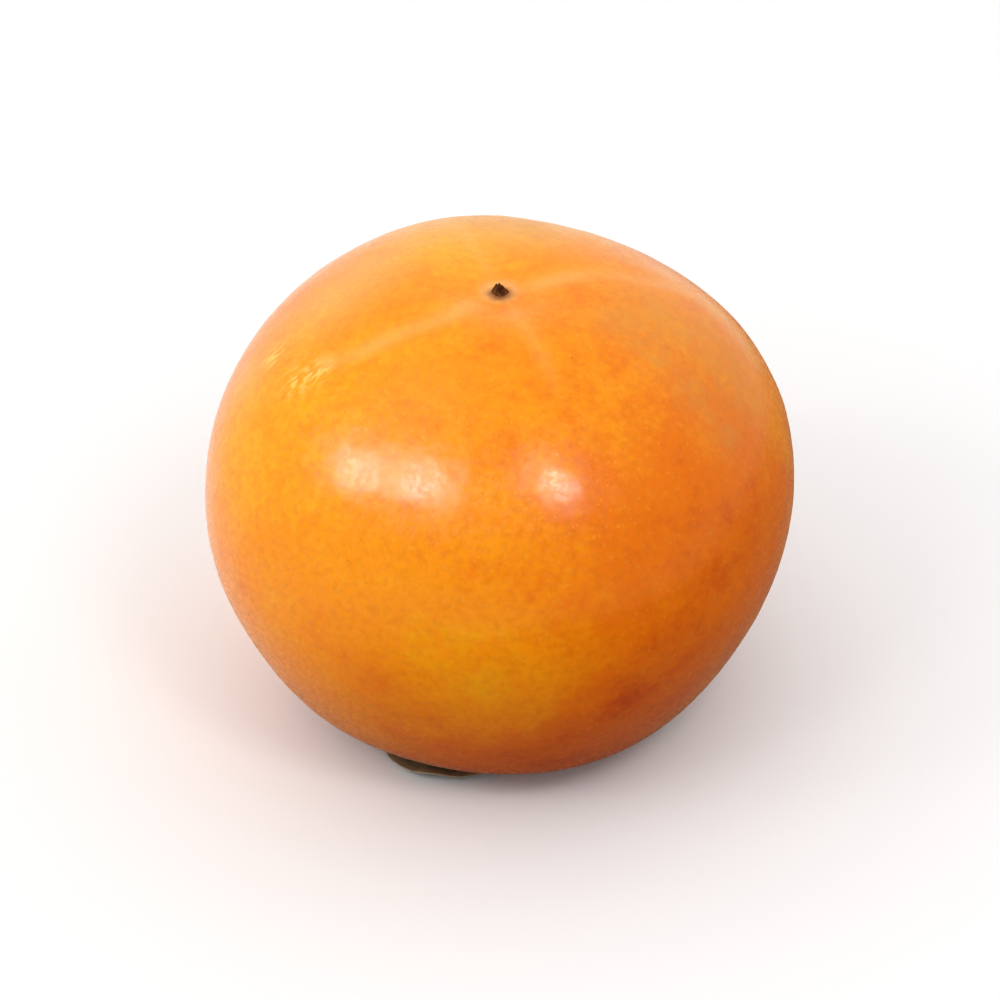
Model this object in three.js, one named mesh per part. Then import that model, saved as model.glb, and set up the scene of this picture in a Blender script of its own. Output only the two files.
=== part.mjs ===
// A persimmon, as picked: the fruit stands blossom end up on the four lobes of its dried calyx.
// Millimetres, +Z up. The origin is where the fruit's axis meets the surface that it stands on.
// Four pieces: the fruit, the calyx under it, the cut stub of the stem, and the dry tip of the style.
import * as THREE from "three";

// ---- driving dimensions -------------------------------------------------------------------------
const GAP = 0.3; // between pieces that touch

const CALYX_THICKNESS = 1.05;
const CALYX_EDGE_THICKNESS = 0.55;
const CALYX_TIP_RADIUS = 27.5; // from the axis to the tip of a calyx lobe
const CALYX_NOTCH_RADIUS = 12.5; // and to the notch between two lobes
const CALYX_FULLNESS = 0.45; // under 1 makes the lobes broad and the notches narrow
const CALYX_POINT = 1.8; // how far the point of a lobe stands out of its round edge
const POINT_SHARPNESS = 12;
const CALYX_ROUND_RADIUS = 11; // the lobes are joined in one round disc up to here
const DISC_RADIUS = 8; // the disc fills the hollow of the fruit up to here
const DISC_OUTER = 13; // and has thinned to the lobes' thickness here
const FOOT_INNER = 15; // each lobe lies flat on the surface from here
const FOOT_OUTER = 22.5; // to here
const TIP_LIFT = 1.1; // its tip curls up by this much
const EDGE_LIFT = 0.45; // and its edge all round by this much
const EDGE_WIDTH = 4;
const BOSS_Z = 1.2; // underside of the raised boss round the stem
const BOSS_RADIUS = 6.6;
const TROUGH_Z = 1.9; // underside of the shallow trough round the boss
const TROUGH_RADIUS = 9.5;

const FRUIT_WIDTH = 82; // across the widest part
const BASE_LEVEL = CALYX_THICKNESS + GAP; // height at which the fruit's base levels off
const WIDEST_Z = BASE_LEVEL + 32; // height of the widest part
const CROWN_RISE = 34.6; // from the widest part up to the crown
const CROWN_POWER = 2.14; // superellipse power of the upper half: 2 is an ellipse, more is squarer
const BASE_DROP = 44.8; // the lower half's own superellipse, before its base is levelled
const BASE_POWER = 1.754;
const BASE_BLEND = 7; // how softly the side turns into the level base
const HOLLOW_DEPTH = 3.6; // hollow round the stem, where the calyx sits
const HOLLOW_INNER = 5;
const HOLLOW_OUTER = 17;

const DIMPLE_DEPTH = 2; // dimple at the blossom end
const DIMPLE_RADIUS = 7;
const SEAT_RADIUS = 1.6; // level spot at its bottom, where the style stands

const FIRST_CORNER = THREE.MathUtils.degToRad(20); // the fruit is a soft square: four corners
const QUARTER = Math.PI / 2;
const CORNER_SWELL = 0.012; // how far the corners stand out, as a share of the radius
const LEAN = 1.3; // the shoulder on the leaning side is this much higher
const LEAN_AZIMUTH = THREE.MathUtils.degToRad(160);
const CREASE_DEPTH = 0.4; // a shallow crease runs down each corner from the blossom end
const CREASE_HALF_WIDTH = 2.2;
const CREASE_START = 3; // it deepens between these radii
const CREASE_FULL = 8;
const CREASE_FADE = 20; // and fades between these
const CREASE_END = 31;

const STEM_RADIUS = 2.5;
const STEM_CHAMFER = 0.3;
const STEM_CUT_Z = 0.5; // the cut end, just clear of the surface
const STEM_TOP_Z = 2.9;
const SOCKET_RADIUS = STEM_RADIUS + GAP; // the stem's socket in the calyx
const SOCKET_Z = STEM_TOP_Z + GAP;

const STYLE_RADIUS = 1.1;
const STYLE_HEIGHT = 1.6;
const STYLE_GAP = 0.05;

const FRUIT_STEPS = 72; // round, a multiple of 36 so that each crease has a line of its own
const FRUIT_RINGS = 34; // from pole to pole
const CALYX_STEPS = 108;
const DISC_RINGS = 5;
const LOBE_RINGS = 8;
const SMALL_STEPS = 24;

// ---- small helpers ------------------------------------------------------------------------------
const { clamp, lerp, smoothstep } = THREE.MathUtils;

// Goes smoothly over from a to b around where they are equal, and never under the larger.
function smoothMax(a, b, softness) {
  const share = clamp(0.5 + (0.5 * (a - b)) / softness, 0, 1);
  return lerp(b, a, share) + softness * share * (1 - share);
}

// The angle from azimuth to the nearest corner of the fruit.
function angleToCorner(azimuth) {
  const turns = (azimuth - FIRST_CORNER) / QUARTER;
  return (turns - Math.round(turns)) * QUARTER;
}

// A closed solid swept once round Z. Each ring is a function from azimuth to [radius, height], and
// the rings run from the bottom of the axis outwards and back to the top of the axis.
function swept(rings, steps) {
  const start = rings.map((ring) => new THREE.Vector2(...ring(0)));
  const geometry = new THREE.LatheGeometry(start, steps);
  const position = geometry.getAttribute("position");
  for (let i = 0; i < position.count; i++) {
    const step = Math.floor(i / rings.length) % steps;
    const azimuth = (step / steps) * 2 * Math.PI;
    const [radius, height] = rings[i % rings.length](azimuth);
    position.setXYZ(i, radius * Math.cos(azimuth), radius * Math.sin(azimuth), height);
  }
  return geometry;
}

function piece(name, geometry, color, roughness) {
  const material = new THREE.MeshStandardMaterial({ color, roughness, metalness: 0 });
  const mesh = new THREE.Mesh(geometry, material);
  mesh.name = name;
  return mesh;
}

// ---- the fruit ----------------------------------------------------------------------------------
const fruitRadius = FRUIT_WIDTH / 2;

function superellipse(radius, power) {
  return (1 - (radius / fruitRadius) ** power) ** (1 / power);
}

function crownZ(radius) {
  const dome = WIDEST_Z + CROWN_RISE * superellipse(radius, CROWN_POWER);
  const fromSeat = Math.max(radius - SEAT_RADIUS, 0);
  return dome - DIMPLE_DEPTH * Math.exp(-((fromSeat / DIMPLE_RADIUS) ** 2));
}

function baseZ(radius) {
  const side = WIDEST_Z - BASE_DROP * superellipse(radius, BASE_POWER);
  const hollow = HOLLOW_DEPTH * (1 - smoothstep(radius, HOLLOW_INNER, HOLLOW_OUTER));
  return smoothMax(side, BASE_LEVEL, BASE_BLEND) + hollow;
}

function creaseDepth(radius, azimuth) {
  const across = (radius * angleToCorner(azimuth)) / CREASE_HALF_WIDTH;
  const starting = smoothstep(radius, CREASE_START, CREASE_FULL);
  const fading = 1 - smoothstep(radius, CREASE_FADE, CREASE_END);
  return CREASE_DEPTH * starting * fading * Math.exp(-(across ** 2));
}

// A point of the skin, from its place on the plain round fruit.
function skin(radius, height, azimuth) {
  const squared = radius * (1 + CORNER_SWELL * Math.cos(4 * angleToCorner(azimuth)));
  if (height < WIDEST_Z) return [squared, height];
  const onShoulder = ((height - WIDEST_Z) / CROWN_RISE) * (radius / fruitRadius);
  const lean = LEAN * onShoulder * Math.cos(azimuth - LEAN_AZIMUTH);
  return [squared, height + lean - creaseDepth(radius, azimuth)];
}

// The rings run from the middle of the base to the widest part and in again to the blossom end.
function makeFruit() {
  const rings = [];
  for (let ring = 0; ring < FRUIT_RINGS; ring++) {
    const turn = (ring / FRUIT_RINGS) * Math.PI;
    const lower = turn < Math.PI / 2;
    const power = lower ? BASE_POWER : CROWN_POWER;
    const radius = fruitRadius * Math.sin(turn) ** (2 / power);
    const height = lower ? baseZ(radius) : crownZ(radius);
    rings.push((azimuth) => skin(radius, height, azimuth));
  }
  rings.push(() => [SEAT_RADIUS, crownZ(0)], () => [0, crownZ(0)]);
  return piece("fruit", swept(rings, FRUIT_STEPS), 0xf08c1e, 0.35);
}

// ---- the calyx ----------------------------------------------------------------------------------
// Its outline: four broad pointed lobes, with a notch under each corner of the fruit.
function calyxEdge(azimuth) {
  const fromNotch = Math.abs(Math.sin(2 * angleToCorner(azimuth)));
  const rounded = CALYX_TIP_RADIUS - CALYX_POINT;
  const outline = lerp(CALYX_NOTCH_RADIUS, rounded, fromNotch ** CALYX_FULLNESS);
  return outline + CALYX_POINT * fromNotch ** POINT_SHARPNESS;
}

function calyxUnderside(radius, edge) {
  const toTrough = lerp(BOSS_Z, TROUGH_Z, smoothstep(radius, BOSS_RADIUS, TROUGH_RADIUS));
  const toFoot = toTrough * (1 - smoothstep(radius, TROUGH_RADIUS, FOOT_INNER));
  const pastFoot = Math.max(radius - FOOT_OUTER, 0) / (CALYX_TIP_RADIUS - FOOT_OUTER);
  const curl = EDGE_LIFT * smoothstep(radius, edge - EDGE_WIDTH, edge);
  return toFoot + TIP_LIFT * pastFoot ** 2 + curl;
}

function calyxTop(radius, edge) {
  const thinning = smoothstep(radius, edge - EDGE_WIDTH, edge);
  const thickness = lerp(CALYX_THICKNESS, CALYX_EDGE_THICKNESS, thinning);
  const lobe = calyxUnderside(radius, edge) + thickness;
  const disc = baseZ(radius) - GAP;
  return lerp(disc, lobe, smoothstep(radius, DISC_RADIUS, DISC_OUTER));
}

// The rings run out along the underside, from the roof of the stem's socket to the outline, and back
// along the top. On the disc they are round, and past it each is a share of the way to the outline.
function makeCalyx() {
  const spans = [];
  for (let ring = 0; ring <= DISC_RINGS; ring++) {
    const radius = lerp(SOCKET_RADIUS, CALYX_ROUND_RADIUS, ring / DISC_RINGS);
    spans.push(() => radius);
  }
  for (let ring = 1; ring <= LOBE_RINGS; ring++) {
    spans.push((edge) => lerp(CALYX_ROUND_RADIUS, edge, ring / LOBE_RINGS));
  }
  const onSurface = (span, surface) => (azimuth) => {
    const edge = calyxEdge(azimuth);
    const radius = span(edge);
    return [radius, surface(radius, edge)];
  };
  const rings = [() => [0, SOCKET_Z], () => [SOCKET_RADIUS, SOCKET_Z]];
  for (const span of spans) rings.push(onSurface(span, calyxUnderside));
  for (const span of spans.reverse()) rings.push(onSurface(span, calyxTop));
  rings.push(onSurface(() => 0, calyxTop));
  return piece("calyx", swept(rings, CALYX_STEPS), 0x6f6a48, 0.8);
}

// ---- the stem and the style ---------------------------------------------------------------------
function makeStem() {
  const profile = [
    [0, STEM_CUT_Z],
    [STEM_RADIUS - STEM_CHAMFER, STEM_CUT_Z],
    [STEM_RADIUS, STEM_CUT_Z + STEM_CHAMFER],
    [STEM_RADIUS, STEM_TOP_Z],
    [0, STEM_TOP_Z],
  ];
  const rings = profile.map((point) => () => point);
  return piece("stem_stub", swept(rings, SMALL_STEPS), 0x6b4a2c, 0.85);
}

function makeStyle() {
  const foot = crownZ(0) + STYLE_GAP;
  const profile = [
    [0, foot],
    [STYLE_RADIUS, foot],
    [STYLE_RADIUS * 0.85, foot + STYLE_HEIGHT * 0.35],
    [STYLE_RADIUS * 0.4, foot + STYLE_HEIGHT * 0.8],
    [0, foot + STYLE_HEIGHT],
  ];
  const rings = profile.map((point) => () => point);
  return piece("style_tip", swept(rings, SMALL_STEPS), 0x2a1a12, 0.7);
}

const persimmon = new THREE.Group();
persimmon.name = "persimmon";
persimmon.add(makeFruit(), makeCalyx(), makeStem(), makeStyle());

export default persimmon;
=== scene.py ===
import math

import bpy
import numpy as np
from mathutils import Matrix, Vector, noise


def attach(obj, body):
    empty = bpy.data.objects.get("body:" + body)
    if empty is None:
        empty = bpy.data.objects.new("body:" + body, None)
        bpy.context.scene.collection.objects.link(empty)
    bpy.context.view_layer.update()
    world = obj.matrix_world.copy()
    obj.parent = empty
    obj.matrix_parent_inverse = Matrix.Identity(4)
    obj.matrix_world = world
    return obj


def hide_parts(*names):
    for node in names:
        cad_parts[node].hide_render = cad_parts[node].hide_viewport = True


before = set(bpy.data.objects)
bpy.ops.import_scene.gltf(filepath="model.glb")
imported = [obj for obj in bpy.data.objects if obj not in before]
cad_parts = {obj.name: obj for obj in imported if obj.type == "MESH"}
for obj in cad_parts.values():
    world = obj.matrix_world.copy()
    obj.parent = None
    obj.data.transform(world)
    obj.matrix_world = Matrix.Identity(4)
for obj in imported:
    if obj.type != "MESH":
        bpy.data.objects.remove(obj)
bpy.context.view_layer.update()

MM = 0.001

# ---- the fruit's form, as in the CAD ------------------------------------------------------------
GAP = 0.3
CALYX_THICKNESS = 1.05
BASE_LEVEL = CALYX_THICKNESS + GAP
FRUIT_RADIUS = 41
WIDEST_Z = BASE_LEVEL + 32
CROWN_RISE = 34.6
CROWN_POWER = 2.14
BASE_DROP = 44.8
BASE_POWER = 1.754
BASE_BLEND = 7
HOLLOW_DEPTH = 3.6
HOLLOW_INNER = 5
HOLLOW_OUTER = 17
DIMPLE_DEPTH = 2
DIMPLE_RADIUS = 7
SEAT_RADIUS = 1.6
CORNERS = 4
FIRST_CORNER = math.radians(20)
QUARTER = math.pi / 2
CORNER_SWELL = 0.012
LEAN = 1.3
LEAN_AZIMUTH = math.radians(160)

# ---- the calyx's form, as in the CAD ------------------------------------------------------------
CALYX_TIP_RADIUS = 27.5
CALYX_NOTCH_RADIUS = 12.5
CALYX_FULLNESS = 0.45
CALYX_POINT = 1.8
CALYX_POINT_SHARPNESS = 12
CALYX_ROUND_RADIUS = 11
DISC_RADIUS = 8
DISC_OUTER = 13
FOOT_INNER = 15
FOOT_OUTER = 22.5
EDGE_WIDTH = 4
BOSS_Z = 1.2
BOSS_RADIUS = 6.6
TROUGH_Z = 1.9
TROUGH_RADIUS = 9.5

STEM_RADIUS = 2.5
STEM_CUT_Z = 0.5
STEM_TOP_Z = 2.9
SOCKET_RADIUS = STEM_RADIUS + GAP
SOCKET_Z = STEM_TOP_Z + GAP
STYLE_RADIUS = 1.1
STYLE_HEIGHT = 1.6

# ---- the view -----------------------------------------------------------------------------------
CAMERA_ELEVATION = math.radians(35.6)
CAMERA_DISTANCE = 900
CAMERA_LENS = 232
CAMERA_AIM = (0, 0, 31)
CAMERA_CLIP_START = 50


# ---- numbers ------------------------------------------------------------------------------------
def smooth(value, low, high):
    """0 below low, 1 above high and an S-curve between, for numbers or arrays."""
    share = np.clip((value - low) / (high - low), 0, 1)
    return share * share * (3 - 2 * share)


def mix(a, b, share):
    return a + (b - a) * share


def smooth_max(a, b, softness):
    share = np.clip(0.5 + 0.5 * (a - b) / softness, 0, 1)
    return mix(b, a, share) + softness * share * (1 - share)


def ring_bump(distance, width):
    """1 where distance is 0, falling off smoothly within about one width."""
    return np.exp(-((distance / width) ** 2))


NOISE_DIRECTION = (1, 0.7, 1.3)


def wobble(points, size, offset):
    """Smooth noise from -1 to 1 at each row of points, with lumps of about that size. Each offset
    gives another noise."""
    shift = Vector([offset * part for part in NOISE_DIRECTION])
    return np.array([noise.noise(Vector(p) / size + shift) for p in points.tolist()])


def wobbles(points, layers):
    """Layers of such noise, one on another, each given as its height, size and offset."""
    return sum(height * wobble(points, size, offset) for height, size, offset in layers)


def on_axis(radius, azimuth, height):
    """Points, one a row, from their radius, azimuth and height, each an array or one number."""
    x, y = radius * np.cos(azimuth), radius * np.sin(azimuth)
    return np.stack([x, y, height + 0 * x], axis=-1)


def angle_to_corner(azimuth):
    """The angle from each azimuth to the nearest corner of the fruit."""
    turns = (azimuth - FIRST_CORNER) / QUARTER
    return (turns - np.round(turns)) * QUARTER


def all_round(steps):
    """Azimuths of that many equal steps round the axis."""
    return np.arange(steps) / steps * 2 * math.pi


# ---- meshes -------------------------------------------------------------------------------------
def make_mesh(name, points, faces, marks=None):
    """A smooth-shaded object from points in millimetres, with marks as named numbers at its points."""
    mesh = bpy.data.meshes.new(name)
    mesh.from_pydata((points * MM).tolist(), [], faces)
    for mark, values in (marks or {}).items():
        mesh.attributes.new(mark, "FLOAT", "POINT").data.foreach_set("value", values)
    mesh.shade_smooth()
    piece = bpy.data.objects.new(name, mesh)
    bpy.context.scene.collection.objects.link(piece)
    return piece


def grid_faces(rings, steps):
    """Quads between rings of points that go once round, with a point at each end to close it."""
    first, last = 0, 1 + rings * steps
    faces = []
    for step in range(steps):
        after = (step + 1) % steps
        faces.append((first, 1 + after, 1 + step))
        top = 1 + (rings - 1) * steps
        faces.append((top + step, top + after, last))
        for ring in range(rings - 1):
            low, high = 1 + ring * steps, 1 + (ring + 1) * steps
            faces.append((low + step, low + after, high + after, high + step))
    return faces


def ball_grid(cells):
    """Unit directions and quads of a cube's six faces, each cells x cells, rounded to a ball."""
    index, directions, faces = {}, [], []

    def corner(i, j, k):
        key = (i, j, k)
        if key not in index:
            index[key] = len(directions)
            directions.append([math.tan(QUARTER / 2 * (2 * c / cells - 1)) for c in key])
        return index[key]

    for a in range(cells):
        for b in range(cells):
            square = [(a, b), (a + 1, b), (a + 1, b + 1), (a, b + 1)]
            for end in (0, cells):
                turned = square if end else square[::-1]
                faces.append([corner(end, i, j) for i, j in turned])
                faces.append([corner(j, end, i) for i, j in turned])
                faces.append([corner(i, j, end) for i, j in turned])
    directions = np.array(directions)
    return directions / np.linalg.norm(directions, axis=1, keepdims=True), faces


# ---- the fruit ----------------------------------------------------------------------------------
FRUIT_CELLS = 126
CROWN_HALF = 0.5  # a share of the crown's height: the blossom end is above it

# A crease runs out from the style at each corner. The groups of four start at the first corner.
CREASE_DEPTH = 0.22
CREASE_HALF_WIDTH = 1.6
CREASE_STRENGTHS = np.array((0.72, 0.35, 0.76, 0.36))
CREASE_LINE_WIDTHS = np.array((1.6, 0.8, 1.6, 1.1))
CREASE_SHIFTS = np.array((0, 0, 4.6, 0))  # how far each one bows off its corner, anticlockwise
CREASE_STARTS = (1.8, 6)
CREASE_ENDS = np.array((33, 28, 31, 24))
CREASE_FADE = 0.65  # the share of its length at which a crease starts to go out
CREASE_LOWEST = 0.05  # the share of the crown's height below which there are none
CREASE_STRAY = ((0.5, 9, 3), (0.25, 3.5, 5))
CREASE_STRAY_REACH = (3, 12)
CREASE_BOW_RISE = (0, 13)
CREASE_BOW_EASE = (19, 31)
CREASE_BOW_EASED = 0.6  # the share of the bow that is gone at the end
CREASE_EVENNESS = 0.85
CREASE_UNEVENNESS = ((0.5, 6, 8),)

# A pale swollen ring lies round the foot of the style, with a dark stain in its middle that is partly
# painted shade of the style on the skin.
HALO_RADIUS = 1.9
HALO_WIDTH = 0.9
HALO_HEIGHT = 0.06
HALO_STRAY = ((0.35, 1.6, 2),)
STAIN_AND_SHADE_REACH = (1.0, 2.3)
STAIN_AND_SHADE_SHIFT = 0.55  # towards -Y
STAIN_AND_SHADE_STRAY = ((0.3, 0.7, 6),)

# Soft dents all over but for the foot and the blossom end: height, size and offset.
DENTS = ((0.30, 21, 21), (0.10, 9, 9), (0.045, 4, 4), (0.025, 1.9, 1.9))
DENTS_CLEAR_OF_FOOT = (BASE_LEVEL, BASE_LEVEL + 8)
DENTS_CLEAR_OF_AXIS = (2, 9)

# Patches of the skin: azimuth in degrees, distance from the axis, height and size.
MIDDLE_TONE = 0.5
# The redder patches low at the front and right, at azimuths 280, 300 and 319, are partly painted shade,
# such as neighbours in a heap throw there.
TONE_AND_SHADE_PATCHES = (  # each starts with how much yellower (over 0) or redder (under 0) it is
    (0.19, 208, 34, 53, 17),
    (-0.24, 319, 38, 42, 22),
    (0.28, 270, 40, 27, 12),
    (0.16, 256, 40, 38, 9),
    (-0.08, 240, 40, 29, 9),
    (-0.16, 300, 40, 27, 18),
    (-0.30, 280, 35, 13, 15),
    (0.34, 90, 26, 62, 17),
    (0.08, 227, 16, 66, 7),
    (0.22, 140, 12, 67, 8),
    (0.20, 95, 38, 22, 20),
    (-0.20, 55, 39, 34, 17),
    (0.14, 150, 39, 40, 16),
)
# Dull waxy bloom on the right shoulder. The last two patches, at the top, are partly painted reflection
# of the pale room along the top rim.
BLOOM_AND_TOP_REFLECTION_PATCHES = (
    (356, 20, 63, 5),
    (356, 28, 58.5, 6),
    (350, 34, 53, 5),
    (339, 17, 64.8, 3),
    (335, 23, 62, 3.2),
    (333.5, 29, 58, 3.4),
    (333.5, 34, 52.6, 3.4),
    (85, 18, 64, 9),
    (105, 31, 58, 10),
)
SCUFF_PATCHES = ((202, 29.8, 59, 2.4), (187, 31, 58, 2.2), (205.5, 27, 61.2, 1.8))
# The first patch is a pale spot at the end of the left crease. The others are painted reflection of the
# pale room along the top and side rims, and a painted glow round the left highlight (azimuth 241).
PALE_SPOT_AND_REFLECTION_PATCHES = (  # each starts with how pale it is, from 0 to 1
    (1, 205.5, 26.1, 61.7, 1.2),
    (0.6, 160, 19, 65, 6),
    (0.65, 178, 24.5, 62.8, 6),
    (0.7, 185, 34.5, 54, 4.5),
    (0.4, 100, 12, 66.7, 8),
    (0.2, 241, 25, 61.5, 8),
    (1, 28, 26.5, 60.5, 3.5),
    (1, 17, 31, 57, 3.5),
    (1, 10, 34.6, 53, 3.5),
)


def patch(points, azimuth, radius, height, size):
    """1 in the middle of a round patch, going out softly within its size."""
    middle = on_axis(radius, math.radians(azimuth), height)
    return ring_bump(np.linalg.norm(points - middle, axis=1), size)


def patches(points, places):
    return sum(patch(points, *place) for place in places)


def weighted_patches(points, places):
    return sum(weight * patch(points, *place) for weight, *place in places)


def superellipse(radius, power):
    return np.clip(1 - (radius / FRUIT_RADIUS) ** power, 0, 1) ** (1 / power)


def crown_z(radius):
    dome = WIDEST_Z + CROWN_RISE * superellipse(radius, CROWN_POWER)
    from_seat = np.maximum(radius - SEAT_RADIUS, 0)
    return dome - DIMPLE_DEPTH * ring_bump(from_seat, DIMPLE_RADIUS)


def base_z(radius):
    side = WIDEST_Z - BASE_DROP * superellipse(radius, BASE_POWER)
    hollow = HOLLOW_DEPTH * (1 - smooth(radius, HOLLOW_INNER, HOLLOW_OUTER))
    return smooth_max(side, BASE_LEVEL, BASE_BLEND) + hollow


def fruit_form(directions):
    """The plain skin in each direction: radius, azimuth and height, and how far up the crown it is."""
    azimuth = np.arctan2(directions[:, 1], directions[:, 0])
    turn = np.arccos(np.clip(-directions[:, 2], -1, 1))
    lower = turn < QUARTER
    power = np.where(lower, BASE_POWER, CROWN_POWER)
    radius = FRUIT_RADIUS * np.sin(turn) ** (2 / power)
    height = np.where(lower, base_z(radius), crown_z(radius))
    swollen = radius * (1 + CORNER_SWELL * np.cos(CORNERS * angle_to_corner(azimuth)))
    crown = np.clip((height - WIDEST_Z) / CROWN_RISE, 0, 1)
    lean = LEAN * crown * (radius / FRUIT_RADIUS) * np.cos(azimuth - LEAN_AZIMUTH)
    return swollen, azimuth, height + lean, crown


def fruit_creases(plain, radius, azimuth, crown):
    """The groove of the creases and the pale line along them at each point, from 0 to 1. Each
    crease strays a little, and comes and goes along its length."""
    corner = np.round((azimuth - FIRST_CORNER) / QUARTER).astype(int) % CORNERS
    stray = wobbles(plain, CREASE_STRAY) * smooth(radius, *CREASE_STRAY_REACH)
    bow = smooth(radius, *CREASE_BOW_RISE) * (1 - CREASE_BOW_EASED * smooth(radius, *CREASE_BOW_EASE))
    across = radius * angle_to_corner(azimuth) + stray - CREASE_SHIFTS[corner] * bow
    end = CREASE_ENDS[corner]
    along = (crown > CREASE_LOWEST) * smooth(radius, *CREASE_STARTS)
    along = along * (1 - smooth(radius, CREASE_FADE * end, end))
    unevenness = np.clip(CREASE_EVENNESS + wobbles(plain, CREASE_UNEVENNESS), 0, 1)
    strength = CREASE_STRENGTHS[corner] * along * unevenness
    groove = strength * ring_bump(across, CREASE_HALF_WIDTH)
    line = strength * ring_bump(across, CREASE_LINE_WIDTHS[corner])
    return groove, line


def style_halo(plain, radius, crown):
    from_ring = radius - HALO_RADIUS - wobbles(plain, HALO_STRAY)
    return (crown > CROWN_HALF) * ring_bump(from_ring, HALO_WIDTH)


# The dark stain round the style's foot, partly painted shade, shifted towards the front.
def style_stain_and_shade(plain, crown):
    from_tip = np.hypot(plain[:, 0], plain[:, 1] + STAIN_AND_SHADE_SHIFT) + wobbles(plain, STAIN_AND_SHADE_STRAY)
    return (crown > CROWN_HALF) * (1 - smooth(from_tip, *STAIN_AND_SHADE_REACH))


def make_fruit():
    """The fruit: its form with fine relief, and marks for what its skin shows."""
    directions, faces = ball_grid(FRUIT_CELLS)
    radius, azimuth, height, crown = fruit_form(directions)
    plain = on_axis(radius, azimuth, height)
    away = plain - np.array([0, 0, WIDEST_Z])
    outwards = away / np.linalg.norm(away, axis=1, keepdims=True)
    groove, line = fruit_creases(plain, radius, azimuth, crown)
    halo = style_halo(plain, radius, crown)
    dents = wobbles(plain, DENTS)
    dents = dents * smooth(height, *DENTS_CLEAR_OF_FOOT) * smooth(radius, *DENTS_CLEAR_OF_AXIS)
    relief = dents - CREASE_DEPTH * groove + HALO_HEIGHT * halo
    marks = {
        # The pale mark is the real pale line of the creases plus the pale patches, which are mostly
        # painted reflection and painted highlight.
        "pale": np.clip(line + weighted_patches(plain, PALE_SPOT_AND_REFLECTION_PATCHES), 0, 1),
        "halo": halo,
        "stain_and_shade": style_stain_and_shade(plain, crown),
        # The tone patches low at the front and right are partly painted shade.
        "tone": weighted_patches(plain, TONE_AND_SHADE_PATCHES) + MIDDLE_TONE,
        "bloom": np.clip(patches(plain, BLOOM_AND_TOP_REFLECTION_PATCHES), 0, 1),
        "scuff": np.clip(patches(plain, SCUFF_PATCHES), 0, 1),
    }
    return make_mesh("persimmon_fruit", plain + outwards * relief[:, None], faces, marks)


# ---- the calyx ----------------------------------------------------------------------------------
CALYX_STEPS = 640
CALYX_DISC_RINGS = 20
CALYX_LOBE_RINGS = 34
CALYX_RINGS = CALYX_DISC_RINGS + CALYX_LOBE_RINGS
EDGE_CROWDING = 1.6  # over 1 sets the rings closer towards the edge
NOTCH_CROWDING = 0.6  # over 0 sets the steps closer at the notches
LOBE_LENGTHS = np.array((1.0, 0.95, 0.985, 0.93))  # each lobe's share of the full length
LOBE_THICKNESS = 0.72
EDGE_THICKNESS = 0.34
EDGE_ROUNDING = 0.25
EDGE_BLUNTNESS = 0.03  # keeps a little thickness at the very edge
FRUIT_CLEARANCE = 0.25
DISC_FADE = (8, 12)
LOBE_START = (9, 12)

RAGGED = 0.35
RAGGED_SIZE = 0.8
NICK_DEPTH = 2.2 * RAGGED
NICK_SIZE = 1.9
NICK_SHARE = 0.28  # over 0 leaves most of the edge without nicks

VEIN_RELIEF = 0.15
VEIN_WIDTH = 0.3
VEIN_ANGLES = np.radians((-33, -22, -11, 0, 11, 22, 33))
VEIN_START = (8.5, 12)
VEIN_SPREAD = (0.62, 1)  # the veins' share of their angles at the disc and at the tip
VEIN_SPREAD_REACH = (8, 24)
VEIN_STRAY = ((0.3, 4, 31),)
SIDE_VEIN_LOSS = 0.5
NET_STRENGTH = 0.4
NET_SIZE = 1.5
NET_WIDTH = 0.13
NET_START = (10, 13)
CRACK_DEPTH = 0.12
CRACK_SIZE = 1.1
CRACK_WIDTH = 0.12

TIP_CURL = 1.5
TIP_CURL_STRAY = ((0.5, 8, 43),)
EDGE_CURL = 0.55
EDGE_CURL_STRAY = ((0.9, 5, 41),)
RIPPLE = 0.5
RIPPLE_SIZE = 6
RIPPLE_START = (12, 16)
RIM_MARK_WIDTH = 0.7


def calyx_edge(azimuth):
    """The radius of the calyx's outline, with lobes of their own lengths and a ragged edge."""
    from_notch = np.abs(np.sin(CORNERS / 2 * angle_to_corner(azimuth)))
    rounded = CALYX_TIP_RADIUS - CALYX_POINT
    outline = mix(CALYX_NOTCH_RADIUS, rounded, from_notch ** CALYX_FULLNESS)
    outline = outline + CALYX_POINT * from_notch ** CALYX_POINT_SHARPNESS
    lobe = np.floor((azimuth - FIRST_CORNER) / QUARTER).astype(int) % CORNERS
    outline = mix(CALYX_NOTCH_RADIUS, outline, LOBE_LENGTHS[lobe])
    round_edge = on_axis(outline, azimuth, 0)
    nicks = NICK_DEPTH * np.clip(wobble(round_edge, NICK_SIZE, 21) - NICK_SHARE, 0, 1)
    return outline - RAGGED * (0.5 + 0.5 * wobble(round_edge, RAGGED_SIZE, 11)) - nicks


def calyx_veins(radius, azimuth, flat):
    """1 on the crest of a vein of the underside, and less on the finer net between the veins."""
    in_lobe = (azimuth - FIRST_CORNER) % QUARTER - QUARTER / 2
    stray = wobbles(flat, VEIN_STRAY)
    spread = mix(*VEIN_SPREAD, smooth(radius, *VEIN_SPREAD_REACH))
    vein = 0 * radius
    for angle in VEIN_ANGLES:
        strength = 1 - SIDE_VEIN_LOSS * abs(angle) / VEIN_ANGLES[-1]
        across = radius * (in_lobe - angle * spread) + stray
        vein = np.maximum(vein, strength * ring_bump(across, VEIN_WIDTH))
    net = NET_STRENGTH * ring_bump(wobble(flat, NET_SIZE, 37), NET_WIDTH)
    return np.maximum(vein * smooth(radius, *VEIN_START), net * smooth(radius, *NET_START))


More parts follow.
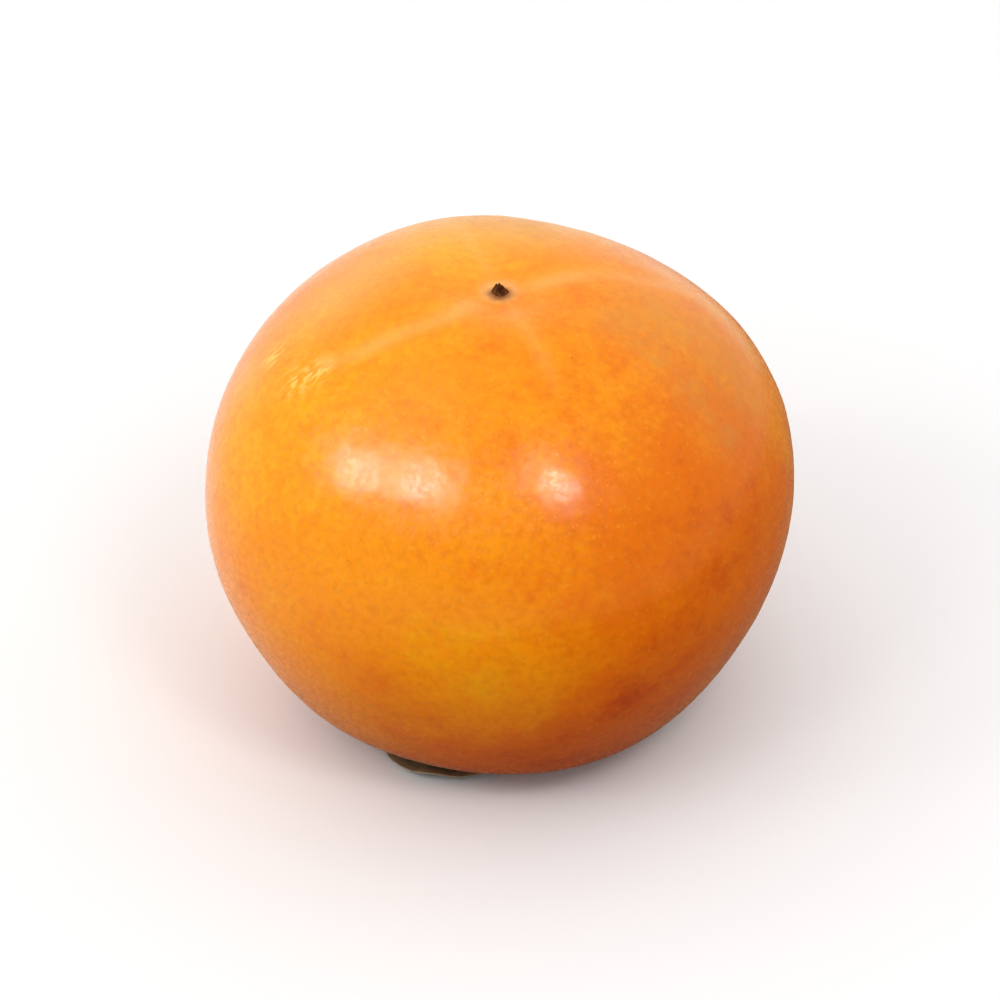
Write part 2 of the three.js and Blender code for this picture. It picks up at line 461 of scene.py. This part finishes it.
def calyx_sheet(radius, flat, near_edge):
    """The height of the underside without its veins and cracks: a boss round the stem, a trough
    round the boss, a flat foot, and an edge and tips that curl up."""
    boss = mix(BOSS_Z, TROUGH_Z, smooth(radius, BOSS_RADIUS, TROUGH_RADIUS))
    boss = boss * (1 - smooth(radius, TROUGH_RADIUS, FOOT_INNER))
    past_foot = np.maximum(radius - FOOT_OUTER, 0) / (CALYX_TIP_RADIUS - FOOT_OUTER)
    curl = EDGE_CURL * near_edge * (1 + wobbles(flat, EDGE_CURL_STRAY))
    curl = curl + TIP_CURL * past_foot ** 2 * (1 + wobbles(flat, TIP_CURL_STRAY))
    ripple = RIPPLE * np.clip(wobble(flat, RIPPLE_SIZE, 47), 0, 1) * smooth(radius, *RIPPLE_START)
    return boss + np.maximum(curl, 0) + ripple


def calyx_surfaces(radius, azimuth, edge):
    """The heights of the underside and the top at each point, and the veins."""
    flat = on_axis(radius, azimuth, 0)
    near_edge = smooth(radius, edge - EDGE_WIDTH, edge)
    plain = calyx_sheet(radius, flat, near_edge)
    lobe_top = plain + mix(LOBE_THICKNESS, EDGE_THICKNESS, near_edge)
    disc_top = base_z(radius) - GAP
    top = mix(disc_top, lobe_top, smooth(radius, DISC_RADIUS, DISC_OUTER))
    top = np.minimum(top, base_z(radius * (1 - CORNER_SWELL)) - FRUIT_CLEARANCE)
    plain = np.minimum(plain, top - EDGE_THICKNESS)
    on_lobe = smooth(radius, *LOBE_START)
    veins = calyx_veins(radius, azimuth, flat)
    cracks = CRACK_DEPTH * ring_bump(wobble(flat, CRACK_SIZE, 53), CRACK_WIDTH) * (1 - on_lobe)
    under = np.maximum(plain + VEIN_RELIEF * (1 - veins) * on_lobe, 0) + cracks
    inset = np.clip(1 - (edge - radius) / EDGE_ROUNDING, 0, 1)
    half = (top - under) / 2 * (1 - np.sqrt(np.clip(1 - inset ** 2, EDGE_BLUNTNESS, 1)))
    return under + half, top - half, veins


def calyx_rings():
    """Rings of points from the socket out to the ragged edge, one after another: each point's
    radius and azimuth, and the radius of the edge beyond it."""
    turn = all_round(CALYX_STEPS)
    azimuth = FIRST_CORNER + turn - NOTCH_CROWDING / CORNERS * np.sin(CORNERS * turn)
    edge = calyx_edge(azimuth)
    disc = np.linspace(SOCKET_RADIUS, CALYX_ROUND_RADIUS, CALYX_DISC_RINGS)
    share = 1 - (1 - np.linspace(0, 1, CALYX_LOBE_RINGS + 1)[1:]) ** EDGE_CROWDING
    rings = [np.full(CALYX_STEPS, radius) for radius in disc]
    rings += [mix(CALYX_ROUND_RADIUS, edge, part) for part in share]
    return np.concatenate(rings), np.tile(azimuth, CALYX_RINGS), np.tile(edge, CALYX_RINGS)


def outside_in(values):
    """The rings' values with the last ring first."""
    rings = values.reshape(CALYX_RINGS, CALYX_STEPS, -1)
    return rings[::-1].reshape(values.shape)


def calyx_mark(values):
    """A mark for all the calyx's points, from its values on the underside."""
    socket = np.full(CALYX_STEPS + 1, values[0])
    return np.concatenate([socket, values, outside_in(values), values[:1]])


def make_calyx():
    """The dried calyx: a disc with a socket for the stem, and four lobes that curl at the edge."""
    radius, azimuth, edge = calyx_rings()
    under, top, veins = calyx_surfaces(radius, azimuth, edge)
    first = np.array([[0, 0, SOCKET_Z]])
    socket = on_axis(SOCKET_RADIUS, azimuth[:CALYX_STEPS], SOCKET_Z)
    low_side = on_axis(radius, azimuth, under)
    high_side = outside_in(on_axis(radius, azimuth, top))
    last = np.array([[0, 0, base_z(0) - GAP]])
    points = np.concatenate([first, socket, low_side, high_side, last])
    marks = {
        "vein": calyx_mark(veins),
        "rim": calyx_mark(np.exp(-(edge - radius) / RIM_MARK_WIDTH)),
        "disc": calyx_mark(1 - smooth(radius, *DISC_FADE)),
    }
    return make_mesh("persimmon_calyx", points, grid_faces(2 * CALYX_RINGS + 1, CALYX_STEPS), marks)


# ---- the stem and the style ---------------------------------------------------------------------
UP = np.array([0, 0, 1])

STEM_STEPS = 120
STEM_WALL_RINGS = 26
STEM_FACE_RINGS = 16
STEM_GIRTH = 0.93
STEM_OVAL = 0.03
STEM_OVAL_TURN = 0.4
STEM_FLUTES = 5
STEM_FLUTE_DEPTH = 0.02
CUT_WIDTH = 0.94  # the cut face's share of the stem's width
CUT_DEPTH = 0.22
CUT_EDGE_DEPTH = 0.12
FIBRE_RELIEF = ((0.10, 0.35, 61),)
GROWTH_RING_RELIEF = 0.10
GROWTH_RING_TURNS = 19  # radians of the wave from the middle to the edge, about three rings
PITH_RELIEF = 0.25
PITH_WIDTH = 0.22
BARK_RIDGES = ((0.09, 0.55, 67),)
BARK_STRETCH = 0.35  # under 1 makes the ridges run up the stem
STEM_EDGE_ROUNDING = 0.06  # the share of its width that is lost at the cut
STEM_EDGE_SHARE = 0.12  # the share of its length that is rounded

STYLE_STEPS = 64
STYLE_RINGS = 40
STYLE_SEAT = 0.05
STYLE_FOOT = 1.08  # shares of its radius: at the foot, and what is lost on the way up
STYLE_TAPER = 0.76
STYLE_RISE = 0.76  # shares of its height: the top, and how far the arms stand above it
STYLE_ARM_RISE = 0.07
STYLE_ARMS = 4
STYLE_ARM_SPLIT = (0.05, 0.22)  # at the foot and at the top
STYLE_WRINKLES = ((0.07, 0.45, 71),)
STYLE_WRINKLE_WAY = np.array([1, 1, 0.5])
STYLE_WRINKLE_START = (0, 0.2)
STYLE_CUP_RINGS = (0.6, 0.25)
STYLE_CUP_DEPTH = 0.12
STYLE_LEAN = np.array([-0.2, -0.14, 0])


def closed_grid(name, rings, marks=None):
    """A piece from rings of points, each as long as the next, closed at both ends by a middle point."""
    first, last = rings[0].mean(axis=0), rings[-1].mean(axis=0)
    points = np.concatenate([[first], *rings, [last]])
    return make_mesh(name, points, grid_faces(len(rings), len(rings[0])), marks)


def stem_face(outline, azimuth, share):
    """One ring of the cut end, at that share of the way out: fibres, growth rings and a pith."""
    face = on_axis(outline * share * CUT_WIDTH, azimuth, 0)
    growth = GROWTH_RING_RELIEF * np.cos(share * GROWTH_RING_TURNS)
    fibres = wobbles(face, FIBRE_RELIEF) + growth
    pith = PITH_RELIEF * ring_bump(share, PITH_WIDTH)
    return face + UP * (STEM_CUT_Z + CUT_DEPTH + fibres + pith)[:, None]


def stem_wall(outline, azimuth, share):
    """One ring of the bark, at that share of the way up."""
    height = mix(STEM_CUT_Z + CUT_EDGE_DEPTH, STEM_TOP_Z, share)
    ridges = wobbles(on_axis(outline, azimuth, height * BARK_STRETCH), BARK_RIDGES)
    rounding = STEM_EDGE_ROUNDING * (1 - smooth(share, 0, STEM_EDGE_SHARE))
    return on_axis(outline * (1 - rounding) + ridges, azimuth, height)


def make_stem():
    """The stub of the stem: ridged bark all round, and a cut end of fibres round a pith."""
    azimuth = all_round(STEM_STEPS)
    oval = STEM_OVAL * np.cos(2 * azimuth + STEM_OVAL_TURN)
    flutes = STEM_FLUTE_DEPTH * np.cos(STEM_FLUTES * azimuth)
    outline = STEM_RADIUS * (STEM_GIRTH + oval + flutes)
    face_shares = np.arange(1, STEM_FACE_RINGS) / STEM_FACE_RINGS
    wall_shares = np.arange(STEM_WALL_RINGS + 1) / STEM_WALL_RINGS
    rings = [stem_face(outline, azimuth, share) for share in face_shares]
    rings += [stem_wall(outline, azimuth, share) for share in wall_shares]
    rings.append(on_axis(outline / 2, azimuth, STEM_TOP_Z))
    bark = np.ones(2 + len(rings) * STEM_STEPS)
    bark[:1 + len(face_shares) * STEM_STEPS] = 0
    return closed_grid("persimmon_stem", rings, {"bark": bark})


def make_style():
    """The dried style: a stubby dark cone, split at the top into the ends of its four arms."""
    azimuth = all_round(STYLE_STEPS)
    foot = float(crown_z(0)) + STYLE_SEAT
    rings = [on_axis(STYLE_RADIUS / 2, azimuth, foot)]
    for share in np.linspace(0, 1, STYLE_RINGS):
        arms = np.cos(STYLE_ARMS * azimuth + share)
        split = mix(*STYLE_ARM_SPLIT, share)
        girth = STYLE_RADIUS * (STYLE_FOOT - STYLE_TAPER * share) * (1 - split + split * arms)
        rise = STYLE_RISE * share + STYLE_ARM_RISE * share * arms
        ring = on_axis(girth, azimuth, foot + STYLE_HEIGHT * rise)
        wrinkle = wobbles(ring, STYLE_WRINKLES) * smooth(share, *STYLE_WRINKLE_START)
        rings.append(ring + wrinkle[:, None] * STYLE_WRINKLE_WAY + STYLE_LEAN * share)
    for share in STYLE_CUP_RINGS:
        middle = rings[-1].mean(axis=0) - UP * STYLE_CUP_DEPTH * (1 - share)
        rings.append(mix(middle, rings[STYLE_RINGS], share))
    return closed_grid("persimmon_style", rings)


# ---- materials ----------------------------------------------------------------------------------
def srgb(red, green, blue):
    """A linear colour from 0 to 255 numbers as a screen shows them."""
    linear = []
    for value in (red / 255, green / 255, blue / 255):
        linear.append(value / 12.92 if value <= 0.04045 else ((value + 0.055) / 1.055) ** 2.4)
    return (*linear, 1)


def set_stops(ramp, colors):
    """Gives a colour ramp its (place, colour) stops, where the places run from 0 to 1."""
    ramp.color_ramp.interpolation = "EASE"
    elements = ramp.color_ramp.elements
    while len(elements) < len(colors):
        elements.new(1)
    for element, (place, color) in zip(elements, colors):
        element.position = place
        element.color = color


MIX_COLOR_INPUTS = (0, 6, 7)  # a colour Mix node's share and its two colours
MIX_COLOR_OUTPUT = 2
DOT_CORE = 0.6  # the share of a dot's radius that has its full strength


class Paint:
    """A material's nodes. Each call adds nodes and returns an output, to feed into the next."""

    def __init__(self, name, **constants):
        self.material = bpy.data.materials.new(name)
        self.material.use_nodes = True
        self.nodes = self.material.node_tree.nodes
        self.links = self.material.node_tree.links
        self.shader = self.nodes["Principled BSDF"]
        for socket, value in constants.items():
            self.shader.inputs[socket.replace("_", " ")].default_value = value
        place = self.nodes.new("ShaderNodeTexCoord").outputs["Object"]
        self.place = self.scaled(place, 1 / MM)

    def put(self, socket, value):
        if isinstance(value, bpy.types.NodeSocket):
            self.links.new(value, socket)
        else:
            socket.default_value = value

    def scaled(self, vector, factor):
        node = self.nodes.new("ShaderNodeVectorMath")
        node.operation = "SCALE"
        self.put(node.inputs[0], vector)
        node.inputs["Scale"].default_value = factor
        return node.outputs[0]

    def mark(self, name):
        """The mesh's mark of that name."""
        node = self.nodes.new("ShaderNodeAttribute")
        node.attribute_name = name
        return node.outputs["Fac"]

    def noise(self, size, detail, rough=0.5, place=None):
        """Soft noise from 0 to 1, with lumps of that size in millimetres."""
        node = self.nodes.new("ShaderNodeTexNoise")
        self.put(node.inputs["Vector"], place or self.place)
        node.inputs["Scale"].default_value = 1 / size
        node.inputs["Detail"].default_value = detail
        node.inputs["Roughness"].default_value = rough
        return node.outputs["Fac"]

    def cells(self, size, output="Distance"):
        """The distance to the nearest of scattered points, or the Color of its cell."""
        node = self.nodes.new("ShaderNodeTexVoronoi")
        self.put(node.inputs["Vector"], self.place)
        node.inputs["Scale"].default_value = 1 / size
        return node.outputs[output]

    def math(self, operation, a, b):
        node = self.nodes.new("ShaderNodeMath")
        node.operation = operation
        self.put(node.inputs[0], a)
        self.put(node.inputs[1], b)
        return node.outputs[0]

    def total(self, *terms, shift=0.0):
        """The sum of each term's value times its factor, plus shift."""
        result = shift
        for value, factor in terms:
            node = self.nodes.new("ShaderNodeMath")
            node.operation = "MULTIPLY_ADD"
            for socket, number in zip(node.inputs, (value, factor, result)):
                self.put(socket, number)
            result = node.outputs[0]
        return result

    def stops(self, value, colors):
        """Colour from (place, colour) stops, where the places run from 0 to 1."""
        node = self.nodes.new("ShaderNodeValToRGB")
        set_stops(node, colors)
        self.put(node.inputs["Fac"], value)
        return node.outputs["Color"]

    def dots(self, spacing, radius, share_left_out, strength):
        """Round dots of that radius, at random in cells of that spacing, in some of the cells."""
        kept = self.math("GREATER_THAN", self.cells(spacing, "Color"), share_left_out)
        core = DOT_CORE * radius / spacing
        dot = self.ramp(self.cells(spacing), core, radius / spacing, strength, 0)
        return self.math("MULTIPLY", kept, dot)

    def strokes(self, turn, width, stretch, low, high):
        """Short parallel strokes of that width, stretched along a turned axis."""
        node = self.nodes.new("ShaderNodeMapping")
        node.vector_type = "TEXTURE"
        self.put(node.inputs["Vector"], self.place)
        node.inputs["Rotation"].default_value = turn
        node.inputs["Scale"].default_value = (stretch, 1, 1)
        return self.ramp(self.noise(width, 1, 0.5, node.outputs["Vector"]), low, high)

    def ramp(self, value, low, high, start=0.0, end=1.0):
        """Maps low to high onto start to end along an S-curve."""
        node = self.nodes.new("ShaderNodeMapRange")
        node.interpolation_type = "SMOOTHSTEP"
        for socket, number in zip(node.inputs, (value, low, high, start, end)):
            self.put(socket, number)
        return node.outputs["Result"]

    def blend(self, share, a, b):
        """Colour a, going over to b as share goes from 0 to 1."""
        node = self.nodes.new("ShaderNodeMix")
        node.data_type = "RGBA"
        for socket, value in zip(MIX_COLOR_INPUTS, (share, a, b)):
            self.put(node.inputs[socket], value)
        return node.outputs[MIX_COLOR_OUTPUT]

    def tint(self, color, share, amount, other):
        """The colour, going over to the other by that amount where share is 1."""
        return self.blend(self.math("MULTIPLY", share, amount), color, other)

    def bump(self, height, depth, below=None):
        """Relief of that depth in millimetres, on top of the relief below."""
        node = self.nodes.new("ShaderNodeBump")
        node.inputs["Distance"].default_value = depth * MM
        self.put(node.inputs["Height"], height)
        if below is not None:
            self.put(node.inputs["Normal"], below)
        return node.outputs["Normal"]

    def finish(self, **sockets):
        for socket, value in sockets.items():
            self.put(self.shader.inputs[socket.replace("_", " ")], value)
        return self.material


SKIN_TONES = (
    (0.0, srgb(206, 66, 0)),
    (0.3, srgb(242, 119, 0)),
    (0.55, srgb(252, 149, 4)),
    (0.8, srgb(250, 171, 12)),
    (1.0, srgb(242, 184, 28)),
)
TONE_NOISES = (  # share of the tone, size, detail and roughness
    (0.36, 17, 2, 0.5),
    (0.36, 5, 3, 0.5),
    (0.28, 1.3, 3, 0.6),
)
TONE_SHIFT = -0.5  # takes away the middle of the noises
GRAIN_COLOR = srgb(210, 100, 4)
SPECKLE_COLOR = srgb(255, 196, 70)
FLECK_COLOR = srgb(112, 58, 16)
FLECKS = {"spacing": 7, "radius": 0.24, "share_left_out": 0.6, "strength": 0.75}
FRECKLE_COLOR = srgb(176, 88, 12)
FRECKLES = {"spacing": 2.3, "radius": 0.16, "share_left_out": 0.45, "strength": 0.4}

# Tints of the skin: how much at most, and the colour.
BLOOM_TINT = (0.55, srgb(222, 146, 60))
# Colours the pale crease lines, and paints the reflection and highlight of the pale patches.
PALE_LINE_AND_REFLECTION_TINT = (0.5, srgb(254, 192, 108))
HALO_TINT = (0.5, srgb(252, 190, 122))
SCUFF_TINT = (0.3, srgb(222, 138, 16))
SCRATCH_TINT = (0.85, srgb(255, 208, 104))
# A dark stain round the style's foot, partly painted shade of the style.
STAIN_AND_SHADE_TINT = (0.85, srgb(120, 66, 30))

SCRATCH_TURN = (0, -0.9, 0.35)
SKIN_ROUGHNESS = (0.2, 0.33)
BLOOM_ROUGHNESS = 0.14  # what the bloom and the scratches add to the roughness
SCRATCH_ROUGHNESS = 0.2


def skin_tone(paint):
    """Patches and mottling of the ripe colour, from a deep red-orange through orange to ochre. Some
    redder patches low on the fruit are partly painted shade.
    """
    mottling = [(paint.noise(*noise), share) for share, *noise in TONE_NOISES]
    tone = paint.total((paint.mark("tone"), 1), *mottling, shift=TONE_SHIFT)
    color = paint.stops(tone, SKIN_TONES)
    grain = paint.ramp(paint.noise(1.2, 4, 0.66), 0.42, 0.68, 0, 0.29)
    color = paint.blend(grain, color, GRAIN_COLOR)
    speckle = paint.ramp(paint.cells(1.1), 0.1, 0.24, 0.24, 0)
    color = paint.blend(speckle, color, SPECKLE_COLOR)
    color = paint.blend(paint.dots(**FLECKS), color, FLECK_COLOR)
    return paint.blend(paint.dots(**FRECKLES), color, FRECKLE_COLOR)


def skin_material():
    """Waxy orange skin, with a dull bloom, pale lines and a few scratches, and some painted reflection,
    highlight and shade.
    """
    paint = Paint(
        "persimmon_skin", IOR=1.45, Specular_IOR_Level=0.16,
        Sheen_Weight=0.2, Sheen_Roughness=0.4, Sheen_Tint=(1, 0.92, 0.82, 1),
    )
    color = skin_tone(paint)
    mottle = paint.ramp(paint.noise(2.2, 4, 0.62), 0.3, 0.62, 0.3, 1)
    bloom = paint.math("MULTIPLY", paint.mark("bloom"), mottle)
    scuff = paint.mark("scuff")
    scratch = paint.math("MULTIPLY", scuff, paint.strokes(SCRATCH_TURN, 0.6, 3.5, 0.5, 0.58))
    # The bloom's dull tan; at the top it is partly painted reflection.
    color = paint.tint(color, bloom, *BLOOM_TINT)
    # Pale crease lines, and painted reflection and painted highlight from the pale patches.
    color = paint.tint(color, paint.mark("pale"), *PALE_LINE_AND_REFLECTION_TINT)
    color = paint.tint(color, paint.mark("halo"), *HALO_TINT)
    color = paint.tint(color, scuff, *SCUFF_TINT)
    color = paint.tint(color, scratch, *SCRATCH_TINT)
    # The stain and painted shade at the style's foot.
    color = paint.tint(color, paint.mark("stain_and_shade"), *STAIN_AND_SHADE_TINT)
    rough = paint.ramp(paint.noise(0.9, 3, 0.6), 0.34, 0.66, *SKIN_ROUGHNESS)
    rough = paint.total((rough, 1), (bloom, BLOOM_ROUGHNESS), (scratch, SCRATCH_ROUGHNESS))
    relief = paint.bump(paint.noise(0.9, 1), 0.005)
    relief = paint.bump(scratch, 0.01, relief)
    return paint.finish(Base_Color=color, Roughness=rough, Normal=relief)


CALYX_COLOR = srgb(126, 116, 82)
CALYX_SHADE = srgb(104, 92, 60)
CALYX_DRY = srgb(78, 58, 36)
VEIN_TINT = (0.6, srgb(158, 140, 98))
RIM_TINT = (0.75, srgb(186, 168, 128))
DISC_TINT = (0.7, srgb(96, 74, 50))
CALYX_ROUGHNESS = (0.62, 0.85)


def calyx_material():
    """A dried leaf, grey-green going brown, with paler veins and rim."""
    paint = Paint("persimmon_calyx", Specular_IOR_Level=0.3)
    color = paint.blend(paint.ramp(paint.noise(5, 3), 0.4, 0.65), CALYX_COLOR, CALYX_SHADE)
    color = paint.blend(paint.ramp(paint.noise(1.3, 4), 0.5, 0.75, 0, 0.8), color, CALYX_DRY)
    color = paint.tint(color, paint.mark("vein"), *VEIN_TINT)
    color = paint.tint(color, paint.mark("rim"), *RIM_TINT)
    color = paint.tint(color, paint.mark("disc"), *DISC_TINT)
    relief = paint.bump(paint.noise(0.4, 4, 0.6), 0.05)
    rough = paint.ramp(paint.noise(2, 2), 0.3, 0.7, *CALYX_ROUGHNESS)
    return paint.finish(Base_Color=color, Roughness=rough, Normal=relief)


BARK_COLORS = (srgb(92, 68, 44), srgb(60, 42, 28))
CUT_COLORS = (srgb(176, 146, 104), srgb(128, 98, 64))
STEM_ROUGHNESS = (0.7, 0.92)


def stem_material():
    """Brown bark, and paler wood where the stem is cut."""
    paint = Paint("persimmon_stem", Specular_IOR_Level=0.25)
    bark = paint.blend(paint.ramp(paint.noise(0.5, 3), 0.4, 0.65), *BARK_COLORS)
    cut = paint.blend(paint.ramp(paint.noise(0.3, 3), 0.35, 0.65), *CUT_COLORS)
    color = paint.blend(paint.mark("bark"), cut, bark)
    relief = paint.bump(paint.noise(0.2, 3, 0.6), 0.06)
    rough = paint.ramp(paint.noise(0.8, 2), 0.3, 0.7, *STEM_ROUGHNESS)
    return paint.finish(Base_Color=color, Roughness=rough, Normal=relief)


STYLE_COLORS = (srgb(58, 24, 4), srgb(116, 64, 22))
STYLE_ROUGHNESS = (0.55, 0.8)


def style_material():
    """Dry dark brown, with rough lighter wrinkles."""
    paint = Paint("persimmon_style", Specular_IOR_Level=0.05)
    color = paint.blend(paint.ramp(paint.noise(0.5, 3), 0.4, 0.7), *STYLE_COLORS)
    relief = paint.bump(paint.noise(0.15, 3, 0.6), 0.04)
    rough = paint.ramp(paint.noise(0.4, 2), 0.3, 0.7, *STYLE_ROUGHNESS)
    return paint.finish(Base_Color=color, Roughness=rough, Normal=relief)


# ---- the set ------------------------------------------------------------------------------------
FLOOR_RADIUS = 1500
FLOOR_COLOR = srgb(246, 246, 246)
FLOOR_FADE = (0.35, 0.98)  # shares of its radius
CARD_COLOR = (0.22, 0.08, 0.015, 1)
CARD_FADE = (0.5, 1)
CARDS = (("card_front", 160, (60, -70, 0.1)), ("card_right", 200, (150, 60, 0.2)))
MATT = {"Roughness": 0.9, "Specular_IOR_Level": 0}
DISC_STEPS = 96

CENTRE = Vector((0, 0, WIDEST_Z)) * MM
LIGHT_DISTANCE = 1200
KEY_LEFT_AXIS = (0.55, -0.47, 0.23)
KEY_RIGHT_AXIS = (0.8, -0.35, -0.3)
SOFTBOXES = (  # name, direction, sides, the first side's axis, power and the gloss twin's power
    ("key_left", (-0.725, -0.295, 0.575), (350, 340), KEY_LEFT_AXIS, 1.15, 14.5),
    ("key_middle", (-0.465, -0.53, 0.705), (298, 340), KEY_LEFT_AXIS, 1.1, 15.4),
    ("key_right", (0.32, -0.53, 0.79), (340, 255), KEY_RIGHT_AXIS, 2.0, 13.4),
)


def make_disc(name, radius):
    return make_mesh(name, on_axis(radius, all_round(DISC_STEPS), 0), [list(range(DISC_STEPS))])


def make_floor():
    """A pale floor that goes out into the room with the distance."""
    floor = make_disc("floor", FLOOR_RADIUS)
    paint = Paint("floor", **MATT, Base_Color=FLOOR_COLOR)
    floor.data.materials.append(paint.material)
    fade_out(paint, *(FLOOR_RADIUS * share for share in FLOOR_FADE))


def make_card(name, radius, place):
    """A warm dim card on the floor beside the fruit, for the colour that its neighbours in a heap
    would throw on it. The camera doesn't see it, and it doesn't shade the floor."""
    card = make_disc(name, radius)
    card.location = Vector(place) * MM
    paint = Paint(name, **MATT, Base_Color=CARD_COLOR)
    from_below = paint.nodes.new("ShaderNodeNewGeometry").outputs["Backfacing"]
    fade_out(paint, *(radius * share for share in CARD_FADE), from_below)
    card.data.materials.append(paint.material)
    card.visible_camera = False
    card.visible_shadow = False


def fade_out(paint, start, end, hidden=0.0):
    """Makes the material go out with the distance from the middle, and wherever hidden is 1."""
    nodes, links = paint.nodes, paint.links
    away = nodes.new("ShaderNodeVectorMath")
    away.operation = "LENGTH"
    links.new(paint.place, away.inputs[0])
    through = nodes.new("ShaderNodeBsdfTransparent")
    both = nodes.new("ShaderNodeMixShader")
    far = paint.ramp(away.outputs["Value"], start, end)
    links.new(paint.math("MAXIMUM", far, hidden), both.inputs[0])
    links.new(paint.shader.outputs[0], both.inputs[1])
    links.new(through.outputs[0], both.inputs[2])
    links.new(both.outputs[0], nodes["Material Output"].inputs["Surface"])


SKY_AXIS = (-0.35, 0.45, 0.82)  # towards the brightest part of the room
SKY = ((0.35, (0.52, 0.52, 0.52, 1)), (0.75, (1, 1, 1, 1)))


def make_world():
    """A pale room, brightest overhead and behind. The ramp runs from the darkest side of it."""
    world = bpy.data.worlds.new("studio")
    world.use_nodes = True
    bpy.context.scene.world = world
    world.cycles.sampling_method = "NONE"  # it is smooth, so the surfaces' own rays find it well
    nodes, links = world.node_tree.nodes, world.node_tree.links
    along = nodes.new("ShaderNodeVectorMath")
    along.operation = "DOT_PRODUCT"
    along.inputs[1].default_value = SKY_AXIS
    links.new(nodes.new("ShaderNodeTexCoord").outputs["Generated"], along.inputs[0])
    share = nodes.new("ShaderNodeMapRange")
    share.inputs["From Min"].default_value = -1
    links.new(along.outputs["Value"], share.inputs["Value"])
    ramp = nodes.new("ShaderNodeValToRGB")
    set_stops(ramp, SKY)
    links.new(share.outputs["Result"], ramp.inputs["Fac"])
    links.new(ramp.outputs["Color"], nodes["Background"].inputs["Color"])


def make_softbox(name, direction, sides, axis, power, gloss_power):
    """A rectangular light that faces the fruit, and a twin that only adds to its reflection."""
    add_light(name, direction, sides, axis, power)
    gloss = add_light(name + "_gloss", direction, sides, axis, gloss_power)
    gloss.visible_diffuse = False


def add_light(name, direction, sides, axis, power):
    """A rectangular light in that direction from the fruit, with its first side along the axis."""
    light = bpy.data.lights.new(name, "AREA")
    light.shape = "RECTANGLE"
    light.size, light.size_y = sides[0] * MM, sides[1] * MM
    light.energy = power
    box = bpy.data.objects.new(name, light)
    back = Vector(direction).normalized()
    side = Vector(axis)
    side = (side - back * side.dot(back)).normalized()
    up = back.cross(side)
    turned = Matrix((side, up, back)).transposed().to_4x4()
    box.matrix_world = Matrix.Translation(CENTRE + back * LIGHT_DISTANCE * MM) @ turned
    bpy.context.scene.collection.objects.link(box)
    return box


def make_camera():
    """A long lens that looks down at the fruit from the front."""
    camera = bpy.data.objects.new("camera", bpy.data.cameras.new("camera"))
    camera.data.lens = CAMERA_LENS
    camera.data.clip_start = CAMERA_CLIP_START * MM
    back = Vector((0, -math.cos(CAMERA_ELEVATION), math.sin(CAMERA_ELEVATION)))
    camera.location = (Vector(CAMERA_AIM) + back * CAMERA_DISTANCE) * MM
    camera.rotation_euler = (math.pi / 2 - CAMERA_ELEVATION, 0, 0)
    bpy.context.scene.collection.objects.link(camera)
    bpy.context.scene.camera = camera


def place(piece, material, node, slot):
    """Puts the piece in the CAD node's place, with that material. The slot is not used."""
    piece.data.materials.append(material)
    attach(piece, "root")
    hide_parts(node)


place(make_fruit(), skin_material(), "fruit", "skin")
place(make_calyx(), calyx_material(), "calyx", "calyx")
place(make_stem(), stem_material(), "stem_stub", "stem")
place(make_style(), style_material(), "style_tip", "style")

make_floor()
for card in CARDS:
    make_card(*card)
make_world()
for softbox in SOFTBOXES:
    make_softbox(*softbox)
make_camera()
scene = bpy.context.scene
scene.view_settings.view_transform = "Standard"
scene.view_settings.look = "None"
